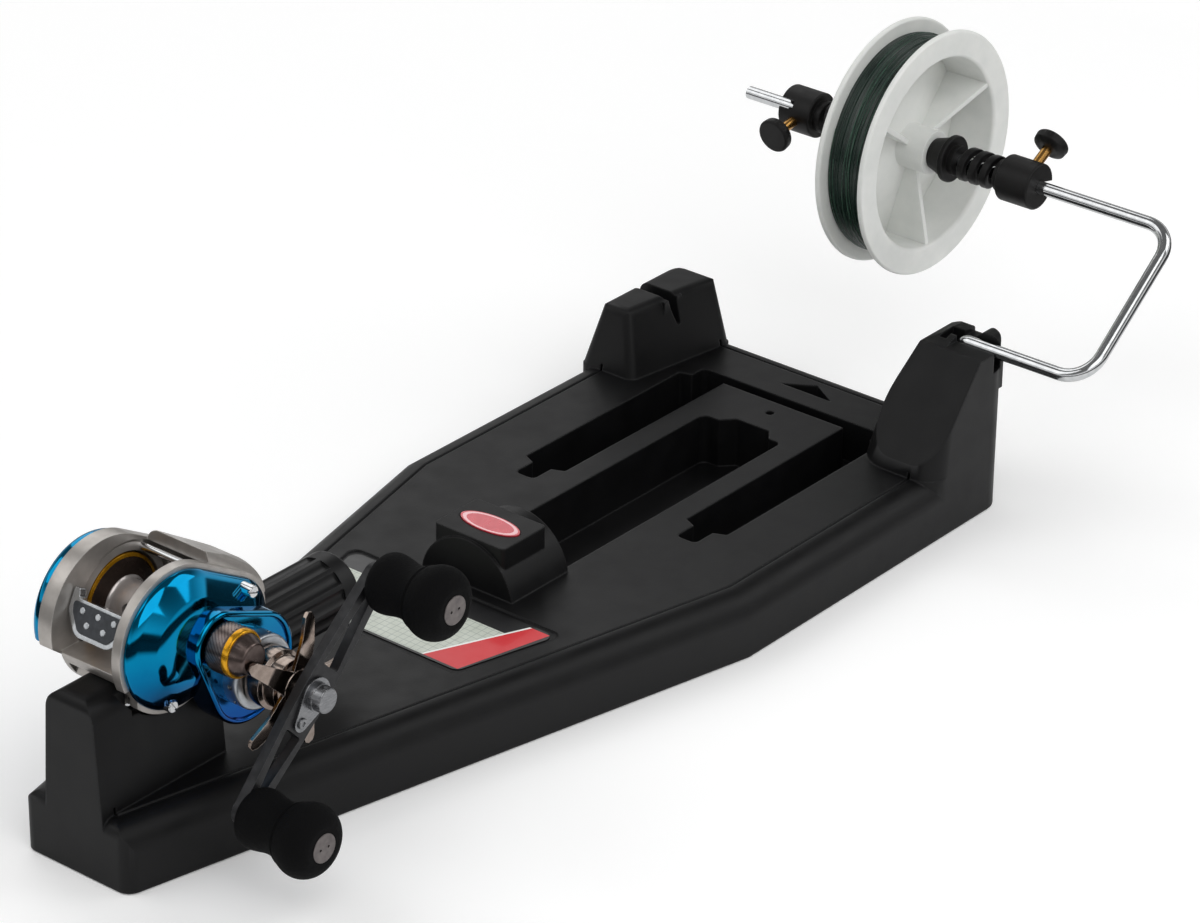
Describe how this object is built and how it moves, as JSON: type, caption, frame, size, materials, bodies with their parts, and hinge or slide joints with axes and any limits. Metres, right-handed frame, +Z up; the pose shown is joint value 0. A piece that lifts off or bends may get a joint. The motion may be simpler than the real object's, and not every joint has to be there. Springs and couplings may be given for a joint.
{
  "type": "fishing line winder",
  "caption": "Line winder: moulded base with a reel clamped on a pedestal and a supply spool turning on a lift-out wire bail.",
  "frame": {"origin": "middle of the base's footprint, on the surface it stands on", "axes": "+X from the reel to the supply spool, +Y to the palm side of the reel, +Z up"},
  "size_m": [0.5474, 0.2226, 0.1676],
  "materials": {
    "base_plastic": "textured satin black",
    "seat_plastic": "satin black",
    "label": "printed matt",
    "badge_red": "gloss red",
    "frame_alloy": "satin silver",
    "cover_blue": "anodised mirror blue",
    "bright_steel": "polished",
    "spool_alloy": "polished",
    "shaft_steel": "ground",
    "gear_brass": "cut",
    "gear_plastic": "moulded",
    "drag_fibre": "pressed fibre",
    "guide_alloy": "satin",
    "cap_gunmetal": "gunmetal",
    "ring_gold": "polished gold",
    "star_bronze": "anodised bronze",
    "handle_black": "anodised black",
    "knob_foam": "closed-cell foam",
    "cap_grey": "satin grey",
    "thumb_silver": "metallised",
    "thumb_pad": "soft",
    "wire": "bright wire",
    "spool_plastic": "milky moulded",
    "line_green": "monofilament",
    "hub_plastic": "satin black",
    "spring_black": "blacked",
    "screw_brass": "turned"
  },
  "bodies": {
    "base": {"base_housing": "base_plastic", "label_sticker": "label", "oval_badge": "badge_red", "seat_stud": "seat_plastic", "reel_frame": "frame_alloy", "reel_foot": "bright_steel", "foot_rivets": "shaft_steel", "handle_side_cover": "cover_blue", "cover_screws": "bright_steel", "palm_side_cover": "cover_blue", "guide_rail": "bright_steel", "spool_bearings": "shaft_steel", "drag_ring": "frame_alloy"},
    "hood": {"seat_hood": "seat_plastic"},
    "barrel": {"clamp_barrel": "seat_plastic"},
    "crank": {"drive_shaft": "shaft_steel", "main_gear": "gear_brass", "worm_drive_gear": "gear_plastic", "drag_washers": "drag_fibre", "handle_arm": "handle_black", "knob_spindles": "shaft_steel", "handle_plate": "bright_steel", "plate_screw": "bright_steel", "handle_nut": "bright_steel"},
    "spool": {"reel_spool": "spool_alloy", "spool_shaft": "shaft_steel", "pinion_gear": "gear_brass"},
    "worm": {"worm_shaft": "shaft_steel", "worm_gear": "gear_plastic"},
    "guide": {"line_guide": "guide_alloy"},
    "star": {"star_drag": "star_bronze"},
    "cap": {"cast_control_cap": "cap_gunmetal", "cap_ring": "ring_gold"},
    "thumb": {"thumb_bar": "thumb_silver", "thumb_pad": "thumb_pad"},
    "front_grip": {"front_knob": "knob_foam", "front_knob_cap": "cap_grey"},
    "rear_grip": {"rear_knob": "knob_foam", "rear_knob_cap": "cap_grey"},
    "bail": {"line_bail": "wire", "near_spring": "spring_black", "far_spring": "spring_black"},
    "supply": {"line_spool": "spool_plastic", "line_winding": "line_green", "near_cone": "hub_plastic", "far_cone": "hub_plastic"},
    "collar_near": {"near_collar": "hub_plastic"},
    "collar_far": {"far_collar": "hub_plastic"},
    "screw_near": {"near_screw": "screw_brass", "near_screw_head": "hub_plastic"},
    "screw_far": {"far_screw": "screw_brass", "far_screw_head": "hub_plastic"}
  },
  "joints": [
    {"name": "hood_slide", "type": "slide", "parent": "base", "child": "hood", "axis": [1, 0, 0], "range_m": [0, 0.01]},
    {"name": "barrel_turn", "type": "hinge", "parent": "hood", "child": "barrel", "pos_m": [-0.11, 0, 0.0586], "axis": [1, 0, 0], "range_deg": [0, 1800]},
    {"name": "crank_turn", "type": "hinge", "parent": "base", "child": "crank", "pos_m": [-0.15727, -0.03, 0.06479], "axis": [0, 1, 0], "continuous": true},
    {"name": "spool_turn", "type": "hinge", "parent": "base", "child": "spool", "pos_m": [-0.175, 0, 0.0827], "axis": [0, 1, 0], "continuous": true},
    {"name": "worm_turn", "type": "hinge", "parent": "base", "child": "worm", "pos_m": [-0.15113, 0, 0.07999], "axis": [0, 1, 0], "continuous": true},
    {"name": "guide_travel", "type": "slide", "parent": "base", "child": "guide", "axis": [0, 1, 0], "range_m": [-0.009, 0.009]},
    {"name": "star_turn", "type": "hinge", "parent": "crank", "child": "star", "pos_m": [-0.15727, -0.04, 0.06479], "axis": [0, 1, 0], "range_deg": [-180, 180]},
    {"name": "cap_turn", "type": "hinge", "parent": "base", "child": "cap", "pos_m": [-0.175, -0.035, 0.0827], "axis": [0, 1, 0], "range_deg": [-180, 180]},
    {"name": "thumb_press", "type": "slide", "parent": "base", "child": "thumb", "axis": [-0.454, 0, -0.891], "range_m": [0, 0.003], "stiffness_N_per_m": 400, "springref_m": -0.003},
    {"name": "front_grip_turn", "type": "hinge", "parent": "crank", "child": "front_grip", "pos_m": [-0.12261, -0.075, 0.09711], "axis": [0, 1, 0], "continuous": true},
    {"name": "rear_grip_turn", "type": "hinge", "parent": "crank", "child": "rear_grip", "pos_m": [-0.19194, -0.075, 0.03246], "axis": [0, 1, 0], "continuous": true},
    {"name": "bail_lift", "type": "slide", "parent": "base", "child": "bail", "axis": [0, 0, 1], "range_m": [0, 0.03]},
    {"name": "supply_turn", "type": "hinge", "parent": "bail", "child": "supply", "pos_m": [0.27238, -0.001, 0.1151], "axis": [0, 1, 0], "continuous": true},
    {"name": "near_collar_slide", "type": "slide", "parent": "bail", "child": "collar_near", "axis": [0, -1, 0], "range_m": [0, 0.01]},
    {"name": "far_collar_slide", "type": "slide", "parent": "bail", "child": "collar_far", "axis": [0, 1, 0], "range_m": [0, 0.01]},
    {"name": "near_screw_turn", "type": "hinge", "parent": "collar_near", "child": "screw_near", "pos_m": [0.27238, -0.0566, 0.1151], "axis": [0.8746, 0, 0.4848], "range_deg": [0, 720]},
    {"name": "far_screw_turn", "type": "hinge", "parent": "collar_far", "child": "screw_far", "pos_m": [0.27238, 0.0546, 0.1151], "axis": [-0.9848, 0, -0.1736], "range_deg": [0, 720]}
  ],
  "couplings": [
    {"joint": "hood_slide", "follows": "barrel_turn", "m_per_rad": 0.000318},
    {"joint": "spool_turn", "follows": "crank_turn", "ratio": -2.9375},
    {"joint": "worm_turn", "follows": "crank_turn", "ratio": -1.7333}
  ]
}
